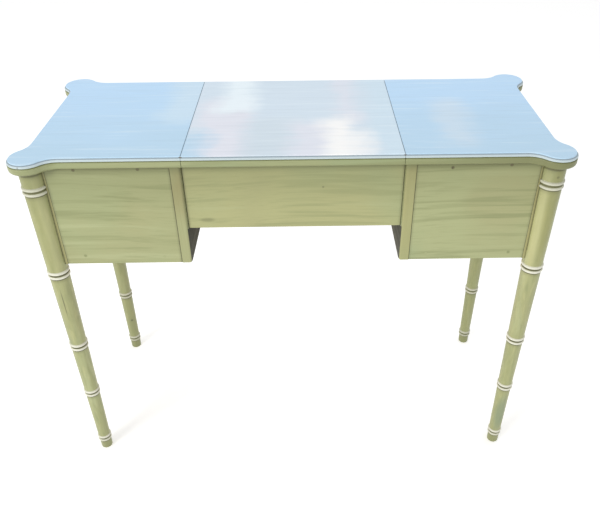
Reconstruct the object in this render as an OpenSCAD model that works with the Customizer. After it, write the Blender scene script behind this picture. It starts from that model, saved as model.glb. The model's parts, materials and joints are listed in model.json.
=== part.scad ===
// Sewing table: two drawer cases on four turned legs, with a lift-up lid over a well between them.
// Origin: on the floor under the middle of the table. +X runs along the long side,
// +Z is up, the plain back faces -Y and the drawers open towards +Y. Millimetres.

/* [Overall] */
// Height of the table
table_h = 762; // [740:1:780]
// Distance between the leg axes along the long side
leg_span_x = 928; // [920:1:960]
// Distance between the leg axes from back to front
leg_span_y = 350; // [346:1:356]

/* [Top] */
// Thickness of the top and of the lid
top_t = 22; // [20:1:24]
// How far the straight long edges stand out past the leg axes
long_edge_out = 10; // [8:1:12]
// How far the straight short edges stand out past the leg axes
short_edge_out = 12.5; // [8:0.5:14]
// Radius of the round lobe over each leg
lobe_r = 35; // [32:1:36]
// Radius of the hollow curve on both sides of each lobe
fillet_r = 40; // [34:1:44]
// Height of the plain band of the edge
edge_band_h = 14.5; // [13:0.5:15]
// Height of the bead above that band
edge_bead_h = 4.3; // [4:0.1:5]
// How far the bead steps in
bead_step = 0.6; // [0.4:0.1:1.5]
// How far the upper edge steps in
upper_step = 3; // [1.6:0.1:3.4]
// Height of the undercut at the foot of the edge
undercut_h = 3; // [2:0.5:4]
// Depth of that undercut
undercut_in = 1.8; // [1:0.1:2.4]
// Width of the lid
lid_w = 391; // [380:1:392]
// Gap between the lid and each side panel
seam = 0.8; // [0.6:0.1:1.2]

/* [Cases] */
// Height of the two drawer cases
case_h = 206; // [200:1:210]
// Clear width of the well between the two cases
well_w = 397; // [394:1:400]
// Clear width inside each case
case_w = 221; // [216:1:223]
// Thickness of the upright boards
board_t = 20; // [18:1:22]
// Radius on the lower corners of the boards
board_corner_r = 2; // [1:0.5:6]
// How far the board ends stand out past the leg axes
board_out = 5; // [4:1:6]
// Thickness of the back panels
back_t = 12; // [9:1:12]
// How far the back panels end above the foot of the boards
panel_lift = 2; // [0:0.5:4]
// Height of the front rails and of the drawer runners
rail_h = 14; // [12:1:16]
// Depth of the front rails
front_rail_d = 40; // [30:1:45]
// Depth of the rear rails
rear_rail_d = 20; // [18:1:22]
// Height of the rear rails
rear_rail_h = 24; // [20:1:28]
// Width of the drawer runners
runner_w = 14; // [12:1:16]

/* [Well] */
// Height of the aprons across the middle, from the underside of the top
apron_h = 130; // [126:1:136]
// Thickness of the aprons
apron_t = 16; // [14:1:18]
// How far the aprons sit in from the ends of the boards
apron_in = 6; // [4:1:8]
// Shadow gap that the back edge of the lid swings in
swing_gap = 2.5; // [2:0.5:9]
// Thickness of the bottom of the well
well_bottom_t = 8; // [6:1:10]
// Side of the square cleats under the well bottom
cleat = 12; // [10:1:14]

/* [Lid hinges] */
// Distance of the hinge axis from the back edge of the lid
pivot_in = 7; // [6.5:0.5:8]
// Depth of the hinge axis below the top face
pivot_down = 5.5; // [5:0.5:6]
// Thickness of one hinge leaf
leaf_t = 2.5; // [2:0.5:3]
// Width of the hinge leaves
leaf_w = 8; // [7:0.5:9]
// Length of the hinge leaves from the axis
leaf_len = 42; // [38:1:46]
// Diameter of the hinge pins
hinge_pin_d = 4; // [3:0.5:4]

/* [Legs] */
// Diameter of a leg at the floor, at each of the five rings and under the top
leg_d = [25.2, 26.4, 30, 33.9, 39, 42.4, 43.2]; // [24:0.1:44]
// Height of the middle of each ring
ring_z = [33, 186, 326, 515, 700]; // [20:1:710]
// Distance between the two beads of a ring
bead_pitch = 10; // [9:0.5:11]
// Height of one bead
bead_h = 5.8; // [5:0.2:7]
// How far a bead stands proud of the leg
bead_proud = 2.2; // [1.6:0.1:2.6]
// Rounding of the foot
foot_r = 1.5; // [1:0.5:3]

/* [Drawers] */
// Thickness of the drawer fronts
front_t = 18; // [16:1:20]
// Thickness of the drawer sides and backs
side_t = 10; // [9:1:11]
// Height of the drawer sides
side_h = 72; // [66:1:74]
// Thickness of the drawer bottoms
bottom_t = 5; // [4:1:6]
// Gap at each side of a drawer
gap_side = 1.5; // [1:0.5:2]
// Gap over a drawer front
gap_top = 1; // [1:0.5:2]
// Gap under a drawer
gap_bottom = 0.5; // [0.3:0.1:0.8]
// Diameter of the knobs
knob_d = 32; // [28:1:34]
// How far the knobs stand out
knob_out = 26; // [22:1:27]

/* [Fasteners] */
// Diameter of the dowels that hold the top
dowel_d = 10; // [8:1:10]
// Length of the dowels that hold the top
dowel_len = 32; // [28:1:34]
// Diameter of the nail shanks
nail_d = 2.4; // [2:0.2:3]
// Diameter of the nail heads
nail_head_d = 5; // [4:0.5:6]
// Diameter of the leg screws
leg_screw_d = 4; // [4:0.5:5]
// Diameter of the knob screws
knob_screw_d = 4; // [3:0.5:5]

/* [Hidden] */
$fn = 96;

// Paint and wood colours
GREEN = [0.66, 0.68, 0.50];
SKY = [0.76, 0.87, 0.95];
IVORY = [0.91, 0.89, 0.82];
RAW_WOOD = [0.76, 0.62, 0.44];
BRASS = [0.72, 0.58, 0.32];
STEEL = [0.45, 0.45, 0.43];

LEFT = -1;
RIGHT = 1;
BACK = -1;
FRONT = 1;
far = 2 * table_h;

// Main planes and axes
leg_x = leg_span_x / 2;
leg_y = leg_span_y / 2;
top_z = table_h - top_t;
case_z = top_z - case_h;
board_y = leg_y + board_out;
well_x = well_w / 2;
bay_x = well_x + board_t;
bay_end_x = bay_x + case_w;
bay_mid_x = (bay_x + bay_end_x) / 2;
case_end_x = bay_end_x + board_t;
lid_x = lid_w / 2;
seam_x = lid_x + seam;

// Drawer bays: one over the other, with a rail under each
bay_h = case_h / 2 - rail_h;
lower_bay_z = case_z + rail_h;
upper_bay_z = lower_bay_z + bay_h + rail_h;
rear_rail_y = -board_y + back_t + rear_rail_d;
front_rail_y = board_y - front_rail_d;

// Hinge axis
pivot_y = -(leg_y + long_edge_out - pivot_in);
pivot_z = table_h - pivot_down;
pin_reach = 7;
pin_play = 0.05;
leaf_screw_d = 3;
leaf_screw_len = 14;
leaf_screw_y = [14, 32];

// Well
apron_y = board_y - apron_in;
apron_z = top_z - apron_h;
well_bottom_z = apron_z + 9;

// Drawers
drawer_face_y = board_y - 1;
drawer_back_y = rear_rail_y + 0.5;
drawer_front_h = bay_h - gap_top - gap_bottom;
rebate = 8;
groove = 5;
groove_up = 7;

// Fastener places
dowel_y = [-120, 0, 120];
nail_len = 26;
nail_head_t = 1.2;

// Nails of each back panel: along X from the middle of its bay, and height over the case bottom
nails_left = [[-58, case_h - 3], [55, case_h - 3], [-73, 20], [78, 16]];
nails_right = [[-47, case_h - 7], [57, case_h - 3], [-78, 16], [81, 16]];
leg_screw_z = [50, 150];
leg_screw_y = 160;
leg_screw_len = 34;
knob_screw_len = 34;

// ---- Shared shapes ----

// Points of an arc about (cx, cy), from angle a0 to angle a1 in n steps
function arc(cx, cy, r, a0, a1, n) =
    [for (i = [0 : n]) [cx + r * cos(a0 + (a1 - a0) * i / n), cy + r * sin(a0 + (a1 - a0) * i / n)]];

function reversed(p) = [for (i = [len(p) - 1 : -1 : 0]) p[i]];

function flipped(p, fx, fy) = [for (q = p) [fx * q[0], fy * q[1]]];

// One quarter of the top outline: long edge, hollow, lobe over the leg, hollow, short edge
reach = lobe_r + fillet_r;
long_hollow_y = leg_y + long_edge_out + fillet_r;
long_hollow_x = leg_x - sqrt(reach * reach - pow(long_hollow_y - leg_y, 2));
short_hollow_x = leg_x + short_edge_out + fillet_r;
short_hollow_y = leg_y - sqrt(reach * reach - pow(short_hollow_x - leg_x, 2));
long_angle = atan2(leg_y - long_hollow_y, leg_x - long_hollow_x);
short_angle = atan2(leg_y - short_hollow_y, leg_x - short_hollow_x);

function quarter_outline(inset) = concat(
    arc(long_hollow_x, long_hollow_y, fillet_r + inset, -90, long_angle, 8),
    arc(leg_x, leg_y, lobe_r - inset, long_angle + 180, short_angle - 180, 26),
    arc(short_hollow_x, short_hollow_y, fillet_r + inset, short_angle, 180, 8)
);

function top_outline(inset) = let (q = quarter_outline(inset)) concat(
    q,
    reversed(flipped(q, 1, -1)),
    flipped(q, -1, -1),
    reversed(flipped(q, -1, 1))
);

// A block from its lowest to its highest corner
module block(low, high) {
    translate(low) cube(high - low);
}

// The same block on the left or the right side
module side_block(side, low, high) {
    if (side == RIGHT) block(low, high);
    else block([-high[0], low[1], low[2]], [-low[0], high[1], high[2]]);
}

// A round bar along X between two distances from the middle, on one side
module x_bar(side, x0, x1, y, z, d) {
    translate([side == RIGHT ? x0 : -x1, y, z]) rotate([0, 90, 0]) cylinder(h = x1 - x0, d = d);
}

module top_layer(z0, z1, inset) {
    translate([0, 0, z0]) linear_extrude(z1 - z0) polygon(top_outline(inset));
}

// The whole top with its stepped edge, before it is cut into the lid and the side panels
module top_blank() {
    top_layer(top_z, top_z + undercut_h, undercut_in);
    top_layer(top_z + undercut_h, top_z + edge_band_h, 0);
    top_layer(top_z + edge_band_h, top_z + edge_band_h + edge_bead_h, bead_step);
    top_layer(top_z + edge_band_h + edge_bead_h, table_h, upper_step);
}

module dowel_places() {
    for (side = [LEFT, RIGHT]) {
        for (x = [well_x + board_t / 2, case_end_x - board_t / 2]) {
            for (y = dowel_y) translate([side * x, y, top_z]) children();
        }
        for (end = [BACK, FRONT]) translate([side * leg_x, end * leg_y, top_z]) children();
    }
}

module dowels() {
    dowel_places() translate([0, 0, -dowel_len / 2 - 3]) cylinder(h = dowel_len, d = dowel_d);
}

module nails() {
    for (side = [LEFT, RIGHT]) {
        for (place = side == LEFT ? nails_left : nails_right) {
            translate([side * bay_mid_x + place[0], -board_y, case_z + place[1]]) rotate([-90, 0, 0]) {
                cylinder(h = nail_len, d = nail_d);
                cylinder(h = nail_head_t, d = nail_head_d);
            }
        }
    }
}

module leg_screw_set() {
    for (side = [LEFT, RIGHT]) {
        for (end = [BACK, FRONT]) {
            for (z = leg_screw_z) {
                translate([side * bay_end_x, end * leg_screw_y, case_z + z]) rotate([0, side * 90, 0]) {
                    cylinder(h = leg_screw_len, d = leg_screw_d);
                    cylinder(h = 3, d1 = 2 * leg_screw_d, d2 = leg_screw_d);
                }
            }
        }
    }
}

// ---- Legs ----

leg_stations = concat([0], ring_z, [top_z]);

// Radius of the plain leg at a height, between the stations on either side of it
function leg_r(z) = lookup(z, [for (i = [0 : len(leg_stations) - 1]) [leg_stations[i], leg_d[i] / 2]]);

// One bead: an arc that bulges out by bead_proud over bead_h
function bead(z) = let (
    half = bead_h / 2,
    r = (half * half + bead_proud * bead_proud) / (2 * bead_proud),
    a = asin(half / r)
) arc(leg_r(z) + bead_proud - r, z, r, -a, a, 8);

function ring(z) = concat(bead(z - bead_pitch / 2), bead(z + bead_pitch / 2));

leg_profile = concat(
    [[0, 0]],
    arc(leg_r(0) - foot_r, foot_r, foot_r, -90, 0, 4),
    [for (z = ring_z) each ring(z)],
    [[leg_r(top_z), top_z], [0, top_z]]
);

// A turned leg, notched over the corner of its case
module leg(side, end) {
    color(GREEN) difference() {
        translate([side * leg_x, end * leg_y, 0]) rotate_extrude() polygon(leg_profile);
        block(
            [side == RIGHT ? 0 : -case_end_x, end == FRONT ? 0 : -board_y, case_z],
            [side == RIGHT ? case_end_x : 0, end == FRONT ? board_y : 0, table_h]
        );
        dowels();
        leg_screw_set();
    }
}

// ---- Top and lid ----

module leaf(side, x0) {
    x_bar(side, x0, x0 + leaf_t, pivot_y, pivot_z, leaf_w);
    side_block(
        side,
        [x0, pivot_y, pivot_z - leaf_w / 2],
        [x0 + leaf_t, pivot_y + leaf_len, pivot_z + leaf_w / 2]
    );
}

// Countersunk hinge screws, driven away from the seam: out = 1 into the side panel, -1 into the lid
module leaf_screws(side, x_face, out) {
    for (y = leaf_screw_y) {
        translate([side * x_face, pivot_y + y, pivot_z]) rotate([0, side * out * 90, 0]) {
            cylinder(h = leaf_screw_len, d = leaf_screw_d);
            cylinder(h = leaf_t, d1 = 2 * leaf_screw_d, d2 = leaf_screw_d);
        }
    }
}

module top_panel(side) {
    color(SKY) difference() {
        intersection() {
            top_blank();
            side_block(side, [seam_x, -far, top_z], [far, far, table_h]);
        }
        leaf(side, seam_x);
        x_bar(side, seam_x, seam_x + pin_reach, pivot_y, pivot_z, hinge_pin_d);
        leaf_screws(side, seam_x, 1);
        dowels();
    }
}

module lid() {
    color(SKY) difference() {
        intersection() {
            top_blank();
            block([-lid_x, -far, top_z], [lid_x, far, table_h]);
        }
        for (side = [LEFT, RIGHT]) {
            leaf(side, lid_x - leaf_t);
            x_bar(side, lid_x - pin_reach - 1, lid_x, pivot_y, pivot_z, hinge_pin_d + 2 * pin_play);
            leaf_screws(side, lid_x, -1);
        }
    }
}

module lid_hinge_leaves() {
    color(BRASS) for (side = [LEFT, RIGHT]) difference() {
        leaf(side, lid_x - leaf_t);
        x_bar(side, lid_x - far, lid_x + 1, pivot_y, pivot_z, hinge_pin_d + 2 * pin_play);
        leaf_screws(side, lid_x, -1);
    }
}

module top_hinge_leaves() {
    color(BRASS) for (side = [LEFT, RIGHT]) difference() {
        leaf(side, seam_x);
        x_bar(side, seam_x - 1, seam_x + pin_reach, pivot_y, pivot_z, hinge_pin_d);
        leaf_screws(side, seam_x, 1);
    }
}

module hinge_pins() {
    color(BRASS) for (side = [LEFT, RIGHT])
        x_bar(side, lid_x - pin_reach, seam_x + pin_reach, pivot_y, pivot_z, hinge_pin_d);
}

module lid_hinge_screws() {
    color(BRASS) for (side = [LEFT, RIGHT]) leaf_screws(side, lid_x, -1);
}

module top_hinge_screws() {
    color(BRASS) for (side = [LEFT, RIGHT]) leaf_screws(side, seam_x, 1);
}

// ---- Cases ----

// Side view of an upright board, with both lower corners rounded
board_outline = concat(
    [[-board_y, case_h], [board_y, case_h]],
    reversed(arc(board_y - board_corner_r, board_corner_r, board_corner_r, -90, 0, 6)),
    reversed(arc(board_corner_r - board_y, board_corner_r, board_corner_r, 180, 270, 6))
);

module upright(side, x0) {
    translate([side == RIGHT ? x0 : -x0 - board_t, 0, case_z])
        rotate([90, 0, 90]) linear_extrude(board_t) polygon(board_outline);
}

module case_inner_side(side) {
    color(GREEN) difference() {
        upright(side, well_x);
        dowels();
    }
}

module case_outer_side(side) {
    color(GREEN) difference() {
        upright(side, bay_end_x);
        dowels();
        leg_screw_set();
    }
}

module case_back_panel(side) {
    color(GREEN) difference() {
        side_block(side, [bay_x, -board_y, case_z + panel_lift], [bay_end_x, back_t - board_y, top_z]);
        nails();
    }
}

module front_rails(side) {
    color(GREEN) for (z = [lower_bay_z, upper_bay_z])
        side_block(side, [bay_x, front_rail_y, z - rail_h], [bay_end_x, board_y, z]);
}

module rear_rails(side) {
    color(RAW_WOOD) difference() {
        for (z = [case_z + panel_lift, upper_bay_z - rear_rail_h, top_z - rear_rail_h])
            side_block(side, [bay_x, back_t - board_y, z], [bay_end_x, rear_rail_y, z + rear_rail_h]);
        nails();
    }
}

module drawer_runners(side) {
    color(RAW_WOOD) for (z = [lower_bay_z, upper_bay_z]) {
        for (x = [bay_x, bay_end_x - runner_w])
            side_block(side, [x, rear_rail_y, z - rail_h], [x + runner_w, front_rail_y, z]);
    }
}

// ---- Well ----

module back_apron() {
    color(GREEN) block([-well_x, -apron_y, apron_z], [well_x, apron_t - apron_y, top_z - swing_gap]);
}

module front_apron() {
    color(GREEN) block([-well_x, apron_y - apron_t, apron_z], [well_x, apron_y, top_z]);
}

module well_bottom() {
    color(RAW_WOOD) block(
        [-well_x, apron_t - apron_y, well_bottom_z],
        [well_x, apron_y - apron_t, well_bottom_z + well_bottom_t]
    );
}

module well_cleats() {
    color(RAW_WOOD) for (side = [LEFT, RIGHT]) side_block(
        side,
        [well_x - cleat, apron_t - apron_y, well_bottom_z - cleat],
        [well_x, apron_y - apron_t, well_bottom_z]
    );
}

// ---- Fasteners ----

module back_panel_nails() {
    color(STEEL) nails();
}

module top_dowels() {
    color(RAW_WOOD) dowels();
}

module leg_screws() {
    color(STEEL) leg_screw_set();
}

// ---- Drawers ----

// Distances of a drawer side from the middle of the table: the near face of each side
inner_side_x = bay_x + gap_side;
outer_side_x = bay_end_x - gap_side - side_t;

module knob_screw_shape(side, bay_z) {
    translate([side * bay_mid_x, drawer_face_y - front_t, bay_z + gap_bottom + drawer_front_h / 2])
        rotate([-90, 0, 0]) {
            cylinder(h = knob_screw_len, d = knob_screw_d);
            translate([0, 0, -2.5]) cylinder(h = 2.5, d = 2.2 * knob_screw_d);
        }
}

module side_blank(side, x0, bay_z) {
    side_block(
        side,
        [x0, drawer_back_y, bay_z + gap_bottom],
        [x0 + side_t, drawer_face_y - front_t + rebate, bay_z + gap_bottom + side_h]
    );
}

module bottom_blank(side, bay_z) {
    side_block(
        side,
        [inner_side_x + side_t - groove, drawer_back_y, bay_z + gap_bottom + groove_up],
        [outer_side_x + groove, drawer_face_y - front_t + groove, bay_z + gap_bottom + groove_up + bottom_t]
    );
}

module drawer_front(side, bay_z) {
    color(GREEN) difference() {
        side_block(
            side,
            [inner_side_x, drawer_face_y - front_t, bay_z + gap_bottom],
            [outer_side_x + side_t, drawer_face_y, bay_z + gap_bottom + drawer_front_h]
        );
        side_blank(side, inner_side_x, bay_z);
        side_blank(side, outer_side_x, bay_z);
        bottom_blank(side, bay_z);
        knob_screw_shape(side, bay_z);
    }
}

module drawer_side(side, x0, bay_z) {
    color(RAW_WOOD) difference() {
        side_blank(side, x0, bay_z);
        bottom_blank(side, bay_z);
    }
}

module drawer_back(side, bay_z) {
    z0 = bay_z + gap_bottom + groove_up + bottom_t;
    color(RAW_WOOD) side_block(
        side,
        [inner_side_x + side_t, drawer_back_y, z0],
        [outer_side_x, drawer_back_y + side_t, bay_z + gap_bottom + side_h - 4]
    );
}

module drawer_bottom(side, bay_z) {
    color(RAW_WOOD) bottom_blank(side, bay_z);
}

// Turned knob: a foot, a hollow waist, and a domed cap with a rounded rim
knob_rim_r = 3;
knob_rim_z = 15.5;
knob_rim_x = knob_d / 2 - knob_rim_r;
knob_rim_end = 50;
cap_edge = [knob_rim_x + knob_rim_r * cos(knob_rim_end), knob_rim_z + knob_rim_r * sin(knob_rim_end)];
cap_rise = knob_out - cap_edge[1];
cap_r = (pow(cap_edge[0], 2) + pow(cap_rise, 2)) / (2 * cap_rise);

knob_profile = concat(
    [[0, 0], [8.5, 0], [8.5, 1.5]],
    arc(12, 7, 5.5, 225, 130, 8),
    arc(knob_rim_x, knob_rim_z, knob_rim_r, -90, knob_rim_end, 8),
    [for (p = arc(0, knob_out - cap_r, cap_r, acos(cap_edge[0] / cap_r), 90, 10)) if (p[0] < cap_edge[0] - 0.1) p]
);

module knob(side, bay_z) {
    color(IVORY) difference() {
        translate([side * bay_mid_x, drawer_face_y, bay_z + gap_bottom + drawer_front_h / 2])
            rotate([-90, 0, 0]) rotate_extrude() polygon(knob_profile);
        knob_screw_shape(side, bay_z);
    }
}

module knob_screw(side, bay_z) {
    color(STEEL) knob_screw_shape(side, bay_z);
}

leg(LEFT, BACK);  // leg_back_left
leg(RIGHT, BACK);  // leg_back_right
leg(LEFT, FRONT);  // leg_front_left
leg(RIGHT, FRONT);  // leg_front_right
top_panel(LEFT);  // top_panel_left
top_panel(RIGHT);  // top_panel_right
lid();
case_inner_side(LEFT);  // case_inner_side_left
case_inner_side(RIGHT);  // case_inner_side_right
case_outer_side(LEFT);  // case_outer_side_left
case_outer_side(RIGHT);  // case_outer_side_right
case_back_panel(LEFT);  // case_back_panel_left
case_back_panel(RIGHT);  // case_back_panel_right
front_rails(LEFT);  // front_rails_left
front_rails(RIGHT);  // front_rails_right
rear_rails(LEFT);  // rear_rails_left
rear_rails(RIGHT);  // rear_rails_right
drawer_runners(LEFT);  // drawer_runners_left
drawer_runners(RIGHT);  // drawer_runners_right
back_apron();
front_apron();
well_bottom();
well_cleats();
lid_hinge_leaves();
top_hinge_leaves();
hinge_pins();
lid_hinge_screws();
top_hinge_screws();
back_panel_nails();
top_dowels();
leg_screws();
drawer_front(LEFT, upper_bay_z);  // upper_left_drawer_front
drawer_side(LEFT, outer_side_x, upper_bay_z);  // upper_left_drawer_side_outer
drawer_side(LEFT, inner_side_x, upper_bay_z);  // upper_left_drawer_side_inner
drawer_back(LEFT, upper_bay_z);  // upper_left_drawer_back
drawer_bottom(LEFT, upper_bay_z);  // upper_left_drawer_bottom
knob(LEFT, upper_bay_z);  // upper_left_knob
knob_screw(LEFT, upper_bay_z);  // upper_left_knob_screw
drawer_front(RIGHT, upper_bay_z);  // upper_right_drawer_front
drawer_side(RIGHT, outer_side_x, upper_bay_z);  // upper_right_drawer_side_outer
drawer_side(RIGHT, inner_side_x, upper_bay_z);  // upper_right_drawer_side_inner
drawer_back(RIGHT, upper_bay_z);  // upper_right_drawer_back
drawer_bottom(RIGHT, upper_bay_z);  // upper_right_drawer_bottom
knob(RIGHT, upper_bay_z);  // upper_right_knob
knob_screw(RIGHT, upper_bay_z);  // upper_right_knob_screw
drawer_front(LEFT, lower_bay_z);  // lower_left_drawer_front
drawer_side(LEFT, outer_side_x, lower_bay_z);  // lower_left_drawer_side_outer
drawer_side(LEFT, inner_side_x, lower_bay_z);  // lower_left_drawer_side_inner
drawer_back(LEFT, lower_bay_z);  // lower_left_drawer_back
drawer_bottom(LEFT, lower_bay_z);  // lower_left_drawer_bottom
knob(LEFT, lower_bay_z);  // lower_left_knob
knob_screw(LEFT, lower_bay_z);  // lower_left_knob_screw
drawer_front(RIGHT, lower_bay_z);  // lower_right_drawer_front
drawer_side(RIGHT, outer_side_x, lower_bay_z);  // lower_right_drawer_side_outer
drawer_side(RIGHT, inner_side_x, lower_bay_z);  // lower_right_drawer_side_inner
drawer_back(RIGHT, lower_bay_z);  // lower_right_drawer_back
drawer_bottom(RIGHT, lower_bay_z);  // lower_right_drawer_bottom
knob(RIGHT, lower_bay_z);  // lower_right_knob
knob_screw(RIGHT, lower_bay_z);  // lower_right_knob_screw
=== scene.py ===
"""Looks of the sewing table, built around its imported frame. Metres, the frame's own axes."""

import json
import math

import bmesh
import bpy
import numpy as np
from mathutils import Matrix, Vector, noise


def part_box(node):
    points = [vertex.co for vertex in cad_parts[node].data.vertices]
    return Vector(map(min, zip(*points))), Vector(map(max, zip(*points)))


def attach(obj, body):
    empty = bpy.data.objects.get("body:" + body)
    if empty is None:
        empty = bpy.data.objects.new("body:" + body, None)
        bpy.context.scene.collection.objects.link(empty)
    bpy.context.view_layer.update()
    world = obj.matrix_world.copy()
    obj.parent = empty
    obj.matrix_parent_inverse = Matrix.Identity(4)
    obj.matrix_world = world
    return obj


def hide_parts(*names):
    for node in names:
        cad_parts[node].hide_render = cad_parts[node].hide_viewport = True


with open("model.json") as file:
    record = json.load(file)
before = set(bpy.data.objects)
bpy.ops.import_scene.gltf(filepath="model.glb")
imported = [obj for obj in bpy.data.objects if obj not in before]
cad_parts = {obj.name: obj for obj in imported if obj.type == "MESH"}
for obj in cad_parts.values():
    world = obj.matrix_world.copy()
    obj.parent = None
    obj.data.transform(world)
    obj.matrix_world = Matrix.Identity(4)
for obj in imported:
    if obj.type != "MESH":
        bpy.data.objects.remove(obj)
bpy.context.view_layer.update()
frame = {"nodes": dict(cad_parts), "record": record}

MM = 0.001
NODES = frame["nodes"]
SIDES = ("left", "right")
ENDS = ("back", "front")
LEVELS = ("upper", "lower")
SIGN = {"left": -1, "right": 1, "back": -1, "front": 1}


# ---- Places, all from the frame ----

MOUNTS = {m["name"]: Vector(m["pos_m"]) for m in frame["record"]["mounts"]}
FOOT = MOUNTS["foot_front_right"]
LEG_X, LEG_Y = FOOT.x, FOOT.y
LID_LOW, LID_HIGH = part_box("lid")
PANEL_LOW, PANEL_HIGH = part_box("top_panel_right")
UNDER_TOP, TABLE_TOP = LID_LOW.z, LID_HIGH.z
INNER_LOW, INNER_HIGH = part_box("case_inner_side_right")
OUTER_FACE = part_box("case_outer_side_right")[1].x
CASE_BOTTOM = INNER_LOW.z
CASE_MIDDLE = (INNER_LOW.x + OUTER_FACE) / 2
BOARD_END = INNER_HIGH.y
APRON_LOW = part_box("back_apron")[0]
APRON_FACE = -APRON_LOW.y

# Points nearer than this to each other are one, and points nearer than this to a plane lie on it
SAME_POINT = 0.01 * MM
ON_PLANE = 0.001 * MM


def islands(node):
    """The lowest and highest corner of each separate solid in a node."""
    mesh = bmesh.new()
    mesh.from_mesh(NODES[node].data)
    bmesh.ops.remove_doubles(mesh, verts=mesh.verts, dist=SAME_POINT)
    found, seen = [], set()
    for start in mesh.verts:
        if start in seen:
            continue
        seen.add(start)
        stack, members = [start], []
        while stack:
            v = stack.pop()
            members.append(v.co)
            for edge in v.link_edges:
                other = edge.other_vert(v)
                if other not in seen:
                    seen.add(other)
                    stack.append(other)
        points = np.array(members)
        found.append((Vector(points.min(0)), Vector(points.max(0))))
    mesh.free()
    return found


# ---- Camera, floor and light ----

CAMERA_AT = Vector((0.0206, -1.2213, 1.2745))
CAMERA_DOWN = math.radians(35.33)
CAMERA_TURN = math.radians(-0.45)
CAMERA_ROLL = math.radians(-0.50)
CAMERA_LENS_MM = 39.56
CAMERA_SHIFT = (-0.0174, 0.0021)
SENSOR_MM = 36.0
FAR_CLIP = 100.0

WHITE = (1.0, 1.0, 1.0, 1.0)
WORLD_LIGHT = 0.62
BACKDROP = 0.96
KEY_LIGHT = {"at": (-3.1, -3.3, 2.9), "target": (0, 0, 0.45), "size": (1.6, 1.8), "power": 100,
             "colour": (1.0, 0.99, 0.95)}
OVERHEAD_LIGHT = {"at": (0.2, 0.5, 2.7), "target": (0, 0, 0.7), "size": (2.4, 1.6), "power": 12,
                  "colour": (1.0, 1.0, 1.0)}
FLOOR_HALF = 30
FLOOR_DROP = 0.2 * MM
FLOOR_WHITE = (0.86, 0.86, 0.86, 1)
FLOOR_ROUGH = 0.9
FLOOR_SHINE = 0.1
FLOOR_GLOW = 0.42


def make_camera():
    data = bpy.data.cameras.new("camera")
    data.lens = CAMERA_LENS_MM
    data.sensor_width = SENSOR_MM
    data.shift_x, data.shift_y = CAMERA_SHIFT
    data.clip_end = FAR_CLIP
    camera = bpy.data.objects.new("camera", data)
    bpy.context.scene.collection.objects.link(camera)
    turn = Matrix.Rotation(CAMERA_TURN, 4, "Z")
    tilt = Matrix.Rotation(math.radians(90) - CAMERA_DOWN, 4, "X")
    roll = Matrix.Rotation(CAMERA_ROLL, 4, "Z")
    camera.matrix_world = Matrix.Translation(CAMERA_AT) @ turn @ tilt @ roll
    bpy.context.scene.camera = camera


def area_light(name, at, target, size, power, colour):
    data = bpy.data.lights.new(name, "AREA")
    data.shape = "RECTANGLE"
    data.size, data.size_y = size
    data.energy = power
    data.color = colour
    lamp = bpy.data.objects.new(name, data)
    lamp.location = at
    lamp.rotation_mode = "QUATERNION"
    lamp.rotation_quaternion = (Vector(target) - Vector(at)).to_track_quat("-Z", "Y")
    bpy.context.scene.collection.objects.link(lamp)


def make_world():
    """White surroundings: one strength lights the table, another is seen behind it."""
    world = bpy.data.worlds.new("studio")
    world.use_nodes = True
    nodes, links = world.node_tree.nodes, world.node_tree.links
    light = nodes["Background"]
    backdrop = nodes.new("ShaderNodeBackground")
    for shader, strength in ((light, WORLD_LIGHT), (backdrop, BACKDROP)):
        shader.inputs["Color"].default_value = WHITE
        shader.inputs["Strength"].default_value = strength
    either = nodes.new("ShaderNodeMixShader")
    links.new(nodes.new("ShaderNodeLightPath").outputs["Is Camera Ray"], either.inputs[0])
    links.new(light.outputs[0], either.inputs[1])
    links.new(backdrop.outputs[0], either.inputs[2])
    links.new(either.outputs[0], nodes["World Output"].inputs["Surface"])
    bpy.context.scene.world = world
    bpy.context.scene.view_settings.view_transform = "Standard"


def make_floor():
    mesh = bmesh.new()
    bmesh.ops.create_grid(mesh, x_segments=1, y_segments=1, size=FLOOR_HALF)
    data = bpy.data.meshes.new("floor")
    mesh.to_mesh(data)
    mesh.free()
    floor = bpy.data.objects.new("floor", data)
    floor.location.z = -FLOOR_DROP
    bpy.context.scene.collection.objects.link(floor)
    paint = bpy.data.materials.new("pale_floor")
    paint.use_nodes = True
    bsdf = paint.node_tree.nodes["Principled BSDF"]
    bsdf.inputs["Base Color"].default_value = FLOOR_WHITE
    bsdf.inputs["Roughness"].default_value = FLOOR_ROUGH
    bsdf.inputs["Specular IOR Level"].default_value = FLOOR_SHINE
    bsdf.inputs["Emission Color"].default_value = WHITE
    bsdf.inputs["Emission Strength"].default_value = FLOOR_GLOW
    floor.data.materials.append(paint)


make_camera()
make_world()
area_light("key", **KEY_LIGHT)
area_light("overhead", **OVERHEAD_LIGHT)
make_floor()


# ---- Building node materials ----


def srgb(r, g, b):
    """A display colour of 0 to 255 as the linear colour that a shader takes."""
    linear = [c / 255 / 12.92 if c <= 10 else ((c / 255 + 0.055) / 1.055) ** 2.4 for c in (r, g, b)]
    return (*linear, 1.0)


def is_socket(value):
    return isinstance(value, bpy.types.NodeSocket)


PAINT_SHINE = 0.5


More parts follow.
